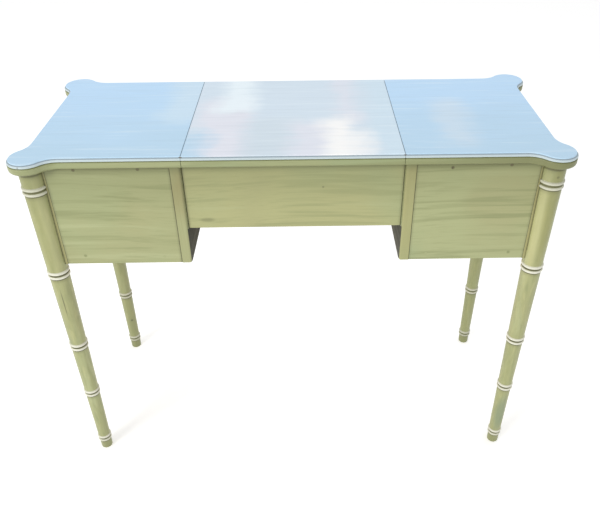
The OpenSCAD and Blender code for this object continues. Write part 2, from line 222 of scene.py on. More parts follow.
class Shader:
    """One node material, with short calls for the nodes that the finishes below are made of."""

    def __init__(self, name):
        self.material = bpy.data.materials.new(name)
        self.material.use_nodes = True
        self.tree = self.material.node_tree
        self.bsdf = self.tree.nodes["Principled BSDF"]
        self.place = self.add("ShaderNodeTexCoord").outputs["Object"]
        facing = self.add("ShaderNodeTexCoord").outputs["Normal"]
        self.x, self.y, self.z = self.add("ShaderNodeSeparateXYZ", self.place).outputs
        self.facing = self.add("ShaderNodeSeparateXYZ", facing).outputs

    def add(self, kind, *values, **settings):
        made = self.tree.nodes.new(kind)
        for key, value in settings.items():
            setattr(made, key, value)
        for socket, value in zip(made.inputs, values):
            self.feed(socket, value)
        return made

    def feed(self, socket, value):
        if is_socket(value):
            self.tree.links.new(value, socket)
        elif value is not None:
            socket.default_value = value

    def math(self, operation, a, b=None, c=None):
        return self.add("ShaderNodeMath", a, b, c, operation=operation).outputs[0]

    def smooth(self, value, low, high):
        """0 where value is at or under low, 1 at or over high, and a smooth rise between."""
        made = self.add("ShaderNodeMapRange", value, low, high, 0.0, 1.0, interpolation_type="SMOOTHSTEP")
        return made.outputs[0]

    def times(self, value, factor):
        return self.math("MULTIPLY", value, factor)

    def plus(self, a, b):
        return self.math("ADD", a, b)

    def minus(self, a, b):
        return self.math("SUBTRACT", a, b)

    def absolute(self, value):
        return self.math("ABSOLUTE", value)

    def wavy(self, reach, stretch, shift):
        """The place, moved to and fro by up to half of reach, for lines that aren't quite straight."""
        wave = self.pattern(stretch, detail=1.0, shift=shift + 40.0)
        off = self.times(self.minus(wave, 0.5), reach)
        moved = self.add("ShaderNodeCombineXYZ", off, off, off).outputs[0]
        return self.add("ShaderNodeVectorMath", self.place, moved, operation="ADD").outputs[0]

    def pattern(self, stretch, detail=3.0, rough=0.5, shift=0.0, place=None, warp=0.0):
        """Noise about 0.5. stretch is how many features a metre holds, along each axis or all of them.

        shift takes it from another place in the noise, so that no two boards look alike.
        """
        if isinstance(stretch, float):
            stretch = (stretch, stretch, stretch)
        made = self.add("ShaderNodeMapping")
        self.feed(made.inputs["Vector"], place or self.place)
        made.inputs["Location"].default_value = (shift, shift * 1.7, shift * 0.6)
        made.inputs["Scale"].default_value = stretch
        texture = self.add("ShaderNodeTexNoise")
        self.feed(texture.inputs["Vector"], made.outputs[0])
        texture.inputs["Scale"].default_value = 1.0
        texture.inputs["Detail"].default_value = detail
        texture.inputs["Roughness"].default_value = rough
        texture.inputs["Distortion"].default_value = warp
        return texture.outputs["Fac"]

    def blend(self, amount, a, b):
        """Colour a where amount is 0, b where it is 1."""
        made = self.add("ShaderNodeMix", data_type="RGBA")
        for name, value in (("Factor", amount), ("A", a), ("B", b)):
            sockets = [s for s in made.inputs if s.name == name and (name == "Factor" or s.type == "RGBA")]
            self.feed(sockets[0], value)
        return [s for s in made.outputs if s.type == "RGBA"][0]

    def tinted(self, colour, tint, value, low, high, amount=1.0):
        """The colour, with up to amount of tint over it where value goes from low to high."""
        return self.blend(self.times(self.smooth(value, low, high), amount), colour, tint)

    def scaled(self, value, low, high):
        """value of 0 to 1, brought to low to high."""
        return self.math("MULTIPLY_ADD", value, high - low, low)

    def edge_distance(self, low, high, axes):
        """Distance to the nearest face of a box, along the axes named."""
        nearest = None
        for axis in axes:
            i = "XYZ".index(axis)
            value = (self.x, self.y, self.z)[i]
            off = self.absolute(self.minus(value, (low[i] + high[i]) / 2))
            inside = self.minus((high[i] - low[i]) / 2, off)
            nearest = inside if nearest is None else self.math("MINIMUM", nearest, inside)
        return nearest

    def leg_distance(self):
        """Distance to the surface of the tapered leg beside a case, leaving its rings out."""
        taper = (LEG_TOP_R - LEG_FOOT_R) / (LEG_TOP_Z - CASE_BOTTOM)
        radius = self.math("MULTIPLY_ADD", self.minus(self.z, CASE_BOTTOM), taper, LEG_FOOT_R)
        dx = self.minus(self.absolute(self.x), LEG_X)
        dy = self.minus(self.absolute(self.y), LEG_Y)
        both = self.plus(self.times(dx, dx), self.times(dy, dy))
        return self.minus(self.math("SQRT", both), radius)

    def finish(self, colour, roughness, height, height_mm, shine=PAINT_SHINE):
        """The material with these colours, this roughness and a relief of up to height_mm."""
        self.feed(self.bsdf.inputs["Base Color"], colour)
        self.feed(self.bsdf.inputs["Roughness"], roughness)
        self.feed(self.bsdf.inputs["Specular IOR Level"], shine)
        bump = self.add("ShaderNodeBump")
        bump.inputs["Strength"].default_value = 1.0
        bump.inputs["Distance"].default_value = height_mm * MM
        self.feed(bump.inputs["Height"], height)
        self.feed(self.bsdf.inputs["Normal"], bump.outputs[0])
        return self.material


# ---- Paint ----

# In the functions that follow, s is the Shader that they add their nodes to.

SAGE = srgb(161, 167, 121)
SAGE_GREEN = srgb(156, 168, 124)
SAGE_TAN = srgb(164, 163, 117)
SAGE_PALE = srgb(179, 184, 139)
SAGE_BROWN = srgb(150, 140, 94)
SAGE_WARM = srgb(171, 171, 121)
SAGE_LIGHT = srgb(168, 173, 126)
END_WARM = srgb(168, 161, 104)
LEG_SAGE = srgb(166, 167, 115)
LEG_PALE = srgb(194, 191, 137)
LEG_SHADE = srgb(146, 144, 84)
LEG_COOL = srgb(128, 144, 116)
STREAK = srgb(138, 144, 98)
SHADE = srgb(122, 125, 82)
SHADE_DEEP = srgb(108, 112, 72)
GLAZE = srgb(74, 72, 42)
IVORY = srgb(228, 227, 211)
IVORY_WORN = srgb(214, 206, 170)
IVORY_SKY = srgb(193, 208, 213)
SKY = srgb(190, 223, 252)
SKY_DEEP = srgb(186, 217, 240)
SKY_PALE = srgb(214, 228, 240)
SKY_MILK = srgb(207, 229, 244)
SKY_GREY = srgb(208, 222, 233)
SKY_ROSE = srgb(229, 230, 241)
SKY_CYAN = srgb(236, 248, 255)
SKY_WHITE = srgb(252, 252, 252)
LINE_BLUE = srgb(150, 166, 176)
BARE_PALE = srgb(176, 144, 100)
BARE_DEEP = srgb(134, 100, 62)
BARE_STAIN = srgb(112, 88, 58)
DUSK_PALE = srgb(113, 113, 103)
DUSK_DEEP = srgb(96, 96, 88)
DUSK_DARK = srgb(66, 65, 59)
IRON = srgb(104, 98, 70)
BRASS = srgb(206, 170, 96)
BRASS_DULL = srgb(140, 104, 56)
STEEL = srgb(150, 148, 140)
STEEL_DULL = srgb(104, 92, 76)
DARK_STEEL = srgb(104, 98, 88)
DARK_STEEL_DULL = srgb(64, 50, 38)

# Streaks and brush hairs in a metre, along and across the strokes, and the waves in their course
STROKES = (2.2, 58.0)
THIN = (2.6, 95.0)
HAIRS = (8.0, 460.0)
WAVES = 3.0
WAVE_REACH = 30 * MM


def along_axis(axis, lengthways, across):
    return tuple(lengthways if axis == name else across for name in "XYZ")


def sage_paint(s, axis, shift, strength=1.0, base=SAGE):
    """Colour and height of brushed sage paint, with wavy streaks along one axis."""
    broad = s.pattern(5.0, detail=2.0, shift=shift + 3.1)
    waved = s.wavy(WAVE_REACH, WAVES, shift)
    strokes = s.pattern(along_axis(axis, *STROKES), detail=4.0, rough=0.55, shift=shift, place=waved)
    hairs = s.pattern(along_axis(axis, *HAIRS), detail=2.0, rough=0.6, shift=shift + 1.3, place=waved)
    colour = s.tinted(base, SAGE_TAN, broad, 0.50, 0.70, 0.7)
    colour = s.tinted(colour, SAGE_GREEN, broad, 0.50, 0.32, strength)
    colour = s.tinted(colour, SAGE_PALE, strokes, 0.46, 0.30, 0.45 * strength)
    colour = s.tinted(colour, STREAK, strokes, 0.54, 0.66, 0.70 * strength)
    thin = s.pattern(along_axis(axis, *THIN), detail=2.0, shift=shift + 5.7, place=waved)
    colour = s.tinted(colour, STREAK, thin, 0.58, 0.66, 0.38)
    colour = s.tinted(colour, STREAK, hairs, 0.52, 0.74, 0.30)
    return colour, s.plus(s.times(hairs, 0.5), s.times(strokes, 0.5))


def painted_shade_under_top(s, colour):
    """Painted shade: the paint darkens towards the underside of the top, and most of all just under it."""
    drop = s.minus(UNDER_TOP, s.z)
    colour = s.tinted(colour, SHADE, drop, 120 * MM, -10 * MM, 0.45)
    return s.tinted(colour, SHADE_DEEP, drop, 19 * MM, -3 * MM, 0.78)


LINE_SOFT = 0.9


def glazed(s, colour, distance, line, fade=6.0, depth=0.9):
    """Dark glaze left in a joint: a line, then a stain that fades. line and fade are in millimetres."""
    rag = s.pattern(70.0, detail=2.0, shift=5.0)
    ragged = s.minus(distance, s.times(rag, 0.8 * MM))
    dark_fade = s.smooth(ragged, fade * MM, -1.0 * MM)
    patchy = s.scaled(s.pattern(14.0, detail=2.0, shift=9.0), 0.0, 0.6)
    colour = s.blend(s.times(dark_fade, patchy), colour, GLAZE)
    return s.tinted(colour, GLAZE, ragged, line * MM, (line - LINE_SOFT) * MM, depth)


def spot(s, colour, centre, radius, depth, stretch=(1.0, 1.0, 1.0), tint=GLAZE):
    """A small soft stain about a point. A higher stretch makes it narrower along that axis."""
    off = [s.times(s.minus(value, c), k) for value, c, k in zip((s.x, s.y, s.z), centre, stretch)]
    square = s.times(off[0], off[0])
    for value in off[1:]:
        square = s.plus(square, s.times(value, value))
    far = s.math("SQRT", square)
    return s.tinted(colour, tint, far, radius, 0.35 * radius, depth)


# Between which heights the ends of the boards turn rusty, and how unpainted sides take light
RUST_FROM, RUST_FULL = 0.60, 0.71
BARE_SHINE = 0.03
BARE_ROUGH = 0.95


def dusky_wood(s, shift):
    """Unpainted board, dark grey, partly as painted shade in the kneehole, with painted shade towards the
    apron and on the left.
    """
    grain = s.pattern((40.0, 3.0, 90.0), detail=4.0, shift=shift + 4.0)
    colour = s.tinted(DUSK_DEEP, DUSK_PALE, grain, 0.3, 0.7)
    # Painted shade: darker on the left
    colour = s.tinted(colour, DUSK_DARK, s.x, 0.1, -0.1, 0.25)
    # Painted shade: darker towards the underside of the apron
    return s.tinted(colour, DUSK_DARK, s.z, CASE_BOTTOM, APRON_LOW.z, 0.6)


def board_ends(s, colour, end_axis, shift, warm_ends):
    """Paint on the ends of a board: its own streaks, rusty just under the top."""
    ends, _ = sage_paint(s, end_axis, shift + 2.0, 0.7)
    rust = s.times(s.smooth(s.pattern((22.0, 22.0, 12.0), shift=shift), 0.35, 0.6), 0.75)
    ends = s.blend(s.times(rust, s.smooth(s.z, RUST_FROM, RUST_FULL)), ends, SAGE_BROWN)
    ends = s.blend(warm_ends, ends, END_WARM)
    return s.tinted(colour, ends, s.absolute(s.facing[1]), 0.6, 0.7)


def bare_side(s, colour, rough, shift, direction, beside_apron):
    """Leave one side of a board unpainted: its colour, roughness and shine."""
    index, sign = direction
    turned = s.smooth(s.times(s.facing[index], sign), 0.6, 0.75)
    if beside_apron:
        behind = s.smooth(s.absolute(s.y), APRON_FACE + 0.5 * MM, APRON_FACE - 0.5 * MM)
        below = s.smooth(s.z, APRON_LOW.z + 1 * MM, APRON_LOW.z - 1 * MM)
        colour = s.blend(s.times(turned, 0.3), colour, GLAZE)
        turned = s.times(turned, s.math("MAXIMUM", behind, below))
    colour = s.blend(turned, colour, dusky_wood(s, shift))
    rough = s.math("MAXIMUM", rough, s.times(turned, BARE_ROUGH))
    return colour, rough, s.scaled(turned, PAINT_SHINE, BARE_SHINE)


def board_paint(node, axis, shift, dusky, joints="", end_axis=None, near_legs=False, marks=(), line=0.9,
                beside_apron=False, base=SAGE, strength=1.0, warm_ends=0.0, free_foot=0.0):
    """Sage paint on one board: streaks along its length, painted shade under the top, glaze where it meets
    its neighbours.

    dusky is the direction in which the board was left unpainted: which of x, y, z, and its sign.
    joints names the axes at whose ends the board meets others, and marks are (centre, radius, depth,
    how flat). free_foot moves the lowest joint down by that much, where the board ends in the open.
    """
    s = Shader(node + "_paint")
    colour, height = sage_paint(s, axis, shift, strength, base)
    if end_axis:
        colour = board_ends(s, colour, end_axis, shift, warm_ends)
    # Painted shade under the top
    colour = painted_shade_under_top(s, colour)
    if joints:
        low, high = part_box(node)
        low.z -= free_foot
        colour = glazed(s, colour, s.edge_distance(low, high, joints), line=line)
    if near_legs:
        colour = glazed(s, colour, s.leg_distance(), line=1.0, fade=4.0, depth=0.5)
    for centre, radius, depth, flat in marks:
        colour = spot(s, colour, centre, radius, depth, (1.0, 1.0, flat))
    rough = s.scaled(s.pattern(12.0, detail=2.0, shift=7.0), 0.34, 0.56)
    colour, rough, shine = bare_side(s, colour, rough, shift, dusky, beside_apron)
    return s.finish(colour, rough, height, 0.12, shine)


def paint_board(node, axis, **settings):
    cover(node, board_paint(node, axis, **settings))


# ---- Bare wood and metal ----


def bare_wood(name, axis, shift):
    """Unpainted wood with growth rings cut along one axis, pores and old stains."""
    s = Shader(name)
    rings = s.pattern(along_axis(axis, 1.6, 26.0), detail=4.0, rough=0.5, shift=shift, warp=0.8)
    late = s.smooth(s.math("FRACT", s.times(rings, 7.0)), 0.35, 0.95)
    pores = s.pattern(along_axis(axis, 30.0, 700.0), detail=2.0, shift=shift + 2.0)
    age = s.pattern(6.0, detail=3.0, shift=shift + 5.0)
    colour = s.blend(s.times(late, 0.6), BARE_PALE, BARE_DEEP)
    colour = s.tinted(colour, BARE_DEEP, pores, 0.56, 0.72, 0.5)
    colour = s.tinted(colour, BARE_STAIN, age, 0.45, 0.75, 0.4)
    height = s.plus(s.times(late, 0.5), pores)
    return s.finish(colour, s.scaled(pores, 0.55, 0.8), height, 0.08)


def worn_metal(name, bright, dull, rough):
    s = Shader(name)
    patina = s.pattern(220.0, detail=4.0, rough=0.6)
    scratches = s.pattern((90.0, 2500.0, 900.0), detail=2.0, shift=3.0)
    colour = s.tinted(bright, dull, patina, 0.42, 0.62)
    s.bsdf.inputs["Metallic"].default_value = 1.0
    return s.finish(colour, s.scaled(patina, rough - 0.1, rough + 0.15), scratches, 0.02)


def cover(node, material):
    """Give a CAD node its material."""
    data = NODES[node].data
    data.materials.clear()
    data.materials.append(material)


def skin(mesh, rings):
    """Close a stack of rings of vertices into a solid."""
    count = len(rings[0])
    for low, high in zip(rings, rings[1:]):
        for i in range(count):
            j = (i + 1) % count
            mesh.faces.new((low[i], low[j], high[j], high[i]))
    mesh.faces.new(rings[0][::-1])
    mesh.faces.new(rings[-1])


FLAT_WITHIN = math.radians(0.5)
EDGE_FROM = math.radians(50)
FACE_WEIGHT = 80


def even_normals(piece, keep_sharp=False):
    """Keep the shading of large faces flat beside their rounded edges."""
    normals = piece.modifiers.new("normals", "WEIGHTED_NORMAL")
    normals.weight = FACE_WEIGHT
    normals.keep_sharp = keep_sharp


def soften(node, width=0.8):
    """Round the edges of a CAD node, by width in millimetres, with modifiers over its own mesh."""
    piece = NODES[node]
    weld = piece.modifiers.new("weld", "WELD")
    weld.merge_threshold = SAME_POINT
    flat = piece.modifiers.new("flat", "DECIMATE")
    flat.decimate_type = "DISSOLVE"
    flat.angle_limit = FLAT_WITHIN
    bevel = piece.modifiers.new("rounded", "BEVEL")
    bevel.width = width * MM
    bevel.segments = 2
    bevel.limit_method = "ANGLE"
    bevel.angle_limit = EDGE_FROM
    even_normals(piece)


def new_piece(name, mesh, material, body, node, sharp):
    """A new object from a bmesh, riding on a body and standing for a CAD node.

    sharp is the angle, in degrees, from which an edge is left hard.
    """
    bmesh.ops.recalc_face_normals(mesh, faces=mesh.faces)
    data = bpy.data.meshes.new(name)
    mesh.to_mesh(data)
    mesh.free()
    data.shade_smooth()
    data.set_sharp_from_angle(angle=math.radians(sharp))
    data.materials.append(material)
    piece = bpy.data.objects.new(name, data)
    bpy.context.scene.collection.objects.link(piece)
    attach(piece, body)
    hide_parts(node)
    return piece


# ---- Turned legs ----

LEG_SEGMENTS = 80
LEG_STEP = 9 * MM
WOBBLE = 0.35 * MM
WAVES_ROUND = 1.3
WAVES_UP = 28
BEAD_REACH = 4.5 * MM
BEAD_RISE = 1.5 * MM
AXIS_CLEAR = 10 * MM
NOTCH_SIZE = Vector((60, 60, 400)) * MM


def leg_profile(node, side, end):
    """(height, radius) pairs up a turned leg, read from its CAD mesh on the side away from the case."""
    axis = (SIGN[side] * LEG_X, SIGN[end] * LEG_Y)
    levels = {}
    for v in NODES[node].data.vertices:
        dx, dy = v.co.x - axis[0], v.co.y - axis[1]
        r = math.hypot(dx, dy)
        outward = min(dx * SIGN[side], dy * SIGN[end])
        if outward > -ON_PLANE and r > AXIS_CLEAR:
            z = round(v.co.z, 5)
            levels[z] = max(levels.get(z, 0.0), r)
    return sorted(levels.items())


def bead_crests(profile):
    """Heights of the crests of the beads."""
    found = []
    for i in range(1, len(profile) - 1):
        z, r = profile[i]
        near = [b for a, b in profile if abs(a - z) < BEAD_REACH]
        if r > profile[i - 1][1] and r >= profile[i + 1][1] and r - min(near) > BEAD_RISE:
            found.append(z)
    return found


PROFILE = leg_profile("leg_back_right", "right", "back")
CRESTS = bead_crests(PROFILE)
RINGS = [(low + high) / 2 for low, high in zip(CRESTS[::2], CRESTS[1::2])]
BEAD_OFF = (CRESTS[1] - CRESTS[0]) / 2
BEAD_HALF = 2.9 * MM
LEG_TOP_R = PROFILE[-1][1]
LEG_TOP_Z = PROFILE[-1][0]
LEG_FOOT_R = float(np.interp(CASE_BOTTOM, *zip(*PROFILE)))


def leg_levels():
    """Profile of the leg with more levels where it is plain."""
    levels = [PROFILE[0]]
    for (z0, r0), (z1, r1) in zip(PROFILE, PROFILE[1:]):
        steps = max(1, round((z1 - z0) / LEG_STEP))
        levels += [(z0 + (z1 - z0) * i / steps, r0 + (r1 - r0) * i / steps) for i in range(1, steps + 1)]
    return levels


def leg_mesh(side, end, seed):
    """A turned leg, a little out of round, before the corner of its case is cut out of it."""
    cx, cy = SIGN[side] * LEG_X, SIGN[end] * LEG_Y
    mesh = bmesh.new()
    rings = []
    for z, r in leg_levels():
        ring = []
        for i in range(LEG_SEGMENTS):
            a = 2 * math.pi * i / LEG_SEGMENTS
            wave = noise.noise((WAVES_ROUND * math.cos(a) + seed, WAVES_ROUND * math.sin(a), z * WAVES_UP))
            rr = r - WOBBLE * (0.5 + 0.5 * wave)
            ring.append(mesh.verts.new((cx + rr * math.cos(a), cy + rr * math.sin(a), z)))
        rings.append(ring)
    skin(mesh, rings)
    return mesh


def notch(piece, side, end):
    """Cut the space of the case's corner out of a leg."""
    sx, sy = SIGN[side], SIGN[end]
    corner = Vector((sx * OUTER_FACE, sy * BOARD_END, CASE_BOTTOM))
    middle = corner + Vector((-sx, -sy, 1)) * NOTCH_SIZE / 2
    cut(piece, box_tool(middle - NOTCH_SIZE / 2, middle + NOTCH_SIZE / 2))


def box_tool(low, high):
    """A box from corner to corner, to cut with."""
    tool = bmesh.new()
    bmesh.ops.create_cube(tool, size=1.0)
    bmesh.ops.scale(tool, vec=high - low, verts=tool.verts)
    bmesh.ops.translate(tool, vec=(low + high) / 2, verts=tool.verts)
    return tool


def cut(piece, tool_mesh):
    """Take a bmesh's shape out of a piece, for good."""
    data = bpy.data.meshes.new("cutter")
    tool_mesh.to_mesh(data)
    tool_mesh.free()
    tool = bpy.data.objects.new("cutter", data)
    bpy.context.scene.collection.objects.link(tool)
    change = piece.modifiers.new("cut", "BOOLEAN")
    change.object = tool
    change.operation = "DIFFERENCE"
    change.solver = "EXACT"
    bpy.context.view_layer.update()
    result = bpy.data.meshes.new_from_object(piece.evaluated_get(bpy.context.evaluated_depsgraph_get()))
    piece.modifiers.clear()
    piece.data = result
    bpy.data.objects.remove(tool)


def nearest_ring(s):
    """Distance to the nearest ring, and the same with its sign, positive above the ring."""
    signed = s.minus(s.z, RINGS[0])
    nearest = s.absolute(signed)
    for ring in RINGS[1:]:
        off = s.minus(s.z, ring)
        here = s.absolute(off)
        nearer = s.math("LESS_THAN", here, nearest)
        signed = s.plus(signed, s.times(nearer, s.minus(off, signed)))
        nearest = s.math("MINIMUM", nearest, here)
    return nearest, signed


def ring_marks(s, colour):
    """Ivory beads, dark glaze between the two beads of a ring, and under it a dark line and fade of glaze
    and painted shadow of the ring.
    """
    middle, signed = nearest_ring(s)
    # Under the ring: glaze and painted shadow of the ring, fading downwards
    under = s.minus(-BEAD_OFF - BEAD_HALF, signed)
    dark_fade = s.times(s.smooth(under, -1 * MM, 0), s.smooth(under, 11 * MM, 1 * MM))
    patchy = s.scaled(s.pattern((30.0, 30.0, 10.0), detail=2.0, shift=17.0), 0.1, 0.5)
    colour = s.blend(s.times(dark_fade, patchy), colour, GLAZE)
    from_bead = s.minus(middle, BEAD_OFF)
    above = s.times(s.smooth(signed, 0, 1 * MM), s.smooth(from_bead, BEAD_HALF + 1.6 * MM, 2.0 * MM))
    on_bead = s.smooth(s.absolute(from_bead), BEAD_HALF + 0.1 * MM, BEAD_HALF - 0.5 * MM)
    on_bead = s.math("MAXIMUM", on_bead, s.times(above, s.smooth(from_bead, 0, 1 * MM)))
    colour = s.blend(on_bead, colour, IVORY)
    rag = s.times(s.pattern((90.0, 90.0, 60.0), detail=2.0, shift=2.0), 0.48 * MM)
    colour = s.tinted(colour, GLAZE, s.minus(middle, rag), 2.3 * MM, 1.0 * MM, 0.9)
    # A dark line under the ring, glaze and painted shadow of the ring
    from_line = s.absolute(s.minus(under, 1.0 * MM))
    return s.tinted(colour, GLAZE, from_line, 1.6 * MM, 0.6 * MM, 0.8)


# Long pale and dark marks down the legs at the back, painted highlights and painted shade for how the
# light falls on
# them, and a darker, cooler foot: where, half how tall, how strong and which paint. All are twice the
# radius below wide.
LEG_LIGHT_AND_SHADE = [
    ((LEG_X - 14 * MM, -LEG_Y - 14 * MM, 0.62), 0.18, 0.65, LEG_PALE),
    ((LEG_X + 3 * MM, -LEG_Y - 19 * MM, 0.67), 0.20, 0.60, LEG_SHADE),
    ((LEG_X, -LEG_Y - 12 * MM, 0.10), 0.08, 0.65, LEG_COOL),
    ((-LEG_X + 12 * MM, -LEG_Y - 16 * MM, 0.62), 0.18, 0.40, LEG_PALE),
    ((-LEG_X - 6 * MM, -LEG_Y - 19 * MM, 0.62), 0.18, 0.35, LEG_SHADE),
]
LIGHT_MARK_R = 16 * MM

# Dark marks on the legs: where, how far they reach, how strong, and how narrow along x, y and z
LEG_MARKS = [
    ((-LEG_X + 1 * MM, -LEG_Y - 20 * MM, 447 * MM), 46 * MM, 0.65, (30.0, 1.0, 1.0)),
    ((LEG_X + 2 * MM, -LEG_Y - 20 * MM, 719 * MM), 4 * MM, 0.45, (1.0, 1.0, 1.0)),
    ((-LEG_X + 6 * MM, LEG_Y - 13 * MM, 100 * MM), 5 * MM, 0.60, (1.0, 1.0, 1.0)),
]


def leg_streaks_and_painted_light(s):
    """Colour and height of the paint of the legs, streaked and flecked down their length, with painted
    highlights and painted shade down their sides.
    """
    colour, height = sage_paint(s, "Z", 11.0, 0.8)
    colour = s.blend(0.65, colour, LEG_SAGE)
    tone = s.pattern((60.0, 60.0, 7.0), detail=2.0, shift=21.0)
    colour = s.tinted(colour, STREAK, tone, 0.52, 0.70, 0.5)
    colour = s.tinted(colour, SAGE_PALE, tone, 0.46, 0.30, 0.5)
    flecks = s.pattern((160.0, 160.0, 28.0), detail=3.0, shift=27.0)
    colour = s.tinted(colour, STREAK, flecks, 0.54, 0.66, 0.30)
    colour = s.tinted(colour, LEG_PALE, flecks, 0.46, 0.34, 0.25)
    # Painted highlights and painted shade down the legs at the back, and a darker, cooler foot
    for centre, tall, depth, tint in LEG_LIGHT_AND_SHADE:
        colour = spot(s, colour, centre, LIGHT_MARK_R, depth, (1.0, 1.0, LIGHT_MARK_R / tall), tint)
    return colour, height


def beside_case(s, colour):
    """Glaze where a leg meets its case, ending a little above the case's bottom."""
    out_x = s.minus(s.absolute(s.x), OUTER_FACE)
    out_y = s.minus(s.absolute(s.y), BOARD_END)
    on_case = s.smooth(s.z, CASE_BOTTOM, CASE_BOTTOM + 20 * MM)
    clear = s.plus(s.minus(1.0, on_case), s.math("MAXIMUM", out_x, out_y))
    return glazed(s, colour, clear, line=1.1, fade=3.5, depth=0.5)


def leg_paint():
    """Brushed paint, ivory beads with glaze in and under each ring, painted shade under the top with a
    painted shadow line under its lobe, painted shade on the legs at the front, and a darker foot.
    """
    s = Shader("leg_paint")
    colour, height = leg_streaks_and_painted_light(s)
    colour = ring_marks(s, colour)
    # Painted shade under the top, then glaze where the leg meets its case
    colour = beside_case(s, painted_shade_under_top(s, colour))
    # Painted shadow of the top's lobe: a dark line round the leg, just below the top
    drop = s.minus(LEG_TOP_Z, s.z)
    colour = s.tinted(colour, GLAZE, drop, 10.5 * MM, 7 * MM, 0.6)
    # Painted shade: the legs at the front darker than those at the back
    colour = s.tinted(colour, SHADE, s.y, -50 * MM, 50 * MM, 0.35)
    # Darker towards the foot
    colour = s.tinted(colour, SHADE, s.z, 40 * MM, 10 * MM, 0.5)
    for centre, radius, depth, stretch in LEG_MARKS:
        colour = spot(s, colour, centre, radius, depth, stretch)
    rough = s.scaled(s.pattern((20.0, 20.0, 12.0), detail=2.0, shift=7.0), 0.30, 0.50)
    return s.finish(colour, rough, height, 0.10)


def make_legs():
    paint = leg_paint()
    for number, (side, end) in enumerate((a, b) for a in SIDES for b in ENDS):
        name = f"leg_{end}_{side}"
        piece = new_piece("turned_" + name, leg_mesh(side, end, 7.0 * number), paint, "table",
                          name, sharp=60)
        notch(piece, side, end)


# ---- Top panels and lid ----

LOBE_R = PANEL_HIGH.x - LEG_X
HOLLOW_R = 40 * MM
HOLLOW_STEPS, LOBE_STEPS = 14, 48
SHORT_EDGE = LEG_X + 12.5 * MM
LONG_EDGE = LID_HIGH.y

# Edge of the top from its underside up, in millimetres: how far in, how high. QUIRK is the dark line
# under the round bead, FACE_FROM where the paint of the face begins, and SEAM_ROUND how far the upper
# edges are eased at the seams.
EDGE_FOOT = [(3.6, 0.0), (2.2, 0.6), (1.0, 1.7), (0.3, 3.2), (0.0, 5.0), (0.0, 12.4), (0.4, 13.1)]
QUIRK = 13.6
BEAD_R, BEAD_Z = 2.4, 16.5
BEAD_TURN = math.radians(84)
BEAD_STEPS = 8
FACE_FROM = 20.0
SEAM_ROUND = 0.4
EDGE_HEAD = [(2.9, 19.2), (3.1, 19.7), (3.1, 20.9), (3.4, 21.6), (4.1, 22.0)]


def arc(cx, cy, r, a0, a1, steps):
    """Points along an arc from angle a0 to angle a1."""
    turns = [a0 + (a1 - a0) * i / steps for i in range(steps + 1)]
    return [(cx + r * math.cos(a), cy + r * math.sin(a)) for a in turns]


def edge_profile():
    bead = arc(-BEAD_R, BEAD_Z, BEAD_R, -BEAD_TURN, BEAD_TURN, BEAD_STEPS)
    return EDGE_FOOT + [(1.3, QUIRK)] + [(-x, up) for x, up in bead] + EDGE_HEAD


def quarter_outline(inset):
    """From the long edge to the short edge: hollow, lobe over the leg, hollow."""
    reach = LOBE_R + HOLLOW_R
    ly, sx = LONG_EDGE + HOLLOW_R, SHORT_EDGE + HOLLOW_R
    lx = LEG_X - math.sqrt(reach**2 - (ly - LEG_Y) ** 2)
    sy = LEG_Y - math.sqrt(reach**2 - (sx - LEG_X) ** 2)
    long_turn = math.atan2(LEG_Y - ly, LEG_X - lx)
    short_turn = math.atan2(LEG_Y - sy, LEG_X - sx)
    half_turn = math.pi
    return (arc(lx, ly, HOLLOW_R + inset, -half_turn / 2, long_turn, HOLLOW_STEPS)
            + arc(LEG_X, LEG_Y, LOBE_R - inset, long_turn + half_turn, short_turn - half_turn, LOBE_STEPS)
            + arc(sx, sy, HOLLOW_R + inset, short_turn, half_turn, HOLLOW_STEPS))


def side_outline(inset, seam_in):
    """Outline of the right side panel, moved in by inset, and by seam_in at its seam."""
    corner = quarter_outline(inset)
    x, y = PANEL_LOW.x + seam_in, LONG_EDGE - inset
    back = [(px, -py) for px, py in corner]
    return [(x, -y)] + back + corner[::-1] + [(x, y)]


def lid_outline(inset, seam_in):
    """Outline of the lid, moved in likewise."""
    x, y = LID_HIGH.x - seam_in, LONG_EDGE - inset
    return [(-x, -y), (x, -y), (x, y), (-x, y)]


def lofted(outline, mirror):
    """A slab whose rim follows the edge profile all the way up."""
    mesh = bmesh.new()
    rings = []
    top = (TABLE_TOP - UNDER_TOP) / MM
    for inset, up in edge_profile():
        seam_in = max(0.0, SEAM_ROUND - (top - up)) * MM
        points = outline(inset * MM, seam_in)
        rings.append([mesh.verts.new((mirror * x, y, UNDER_TOP + up * MM)) for x, y in points])
    skin(mesh, rings)
    return mesh


# How far the edge of a pale patch wanders, and how softly it fades
PATCH_RAG = 50 * MM
PATCH_SOFT = 28 * MM


def painted_reflection(s, colour, x, y, tint, depth):
    """A pale patch of the top, a painted reflection, ragged along the brush strokes. x and y are pairs,
    low and high.
    """
    strokes = s.pattern((3.5, 70.0, 3.5), detail=2.0, shift=x[0] * 9)
    cloud = s.pattern((16.0, 10.0, 9.0), detail=3.0, shift=x[1] * 7)
    both = s.plus(s.times(strokes, 0.35), s.times(cloud, 0.65))
    off = s.scaled(both, -PATCH_RAG, PATCH_RAG)
    amount = depth
    for value, (low, high) in ((s.plus(s.x, off), x), (s.plus(s.y, off), y)):
        rise = s.smooth(value, low - PATCH_SOFT, low + PATCH_SOFT)
        fall = s.smooth(value, high + PATCH_SOFT, high - PATCH_SOFT)
        amount = s.times(amount, s.times(rise, fall))
    return s.blend(amount, colour, tint)


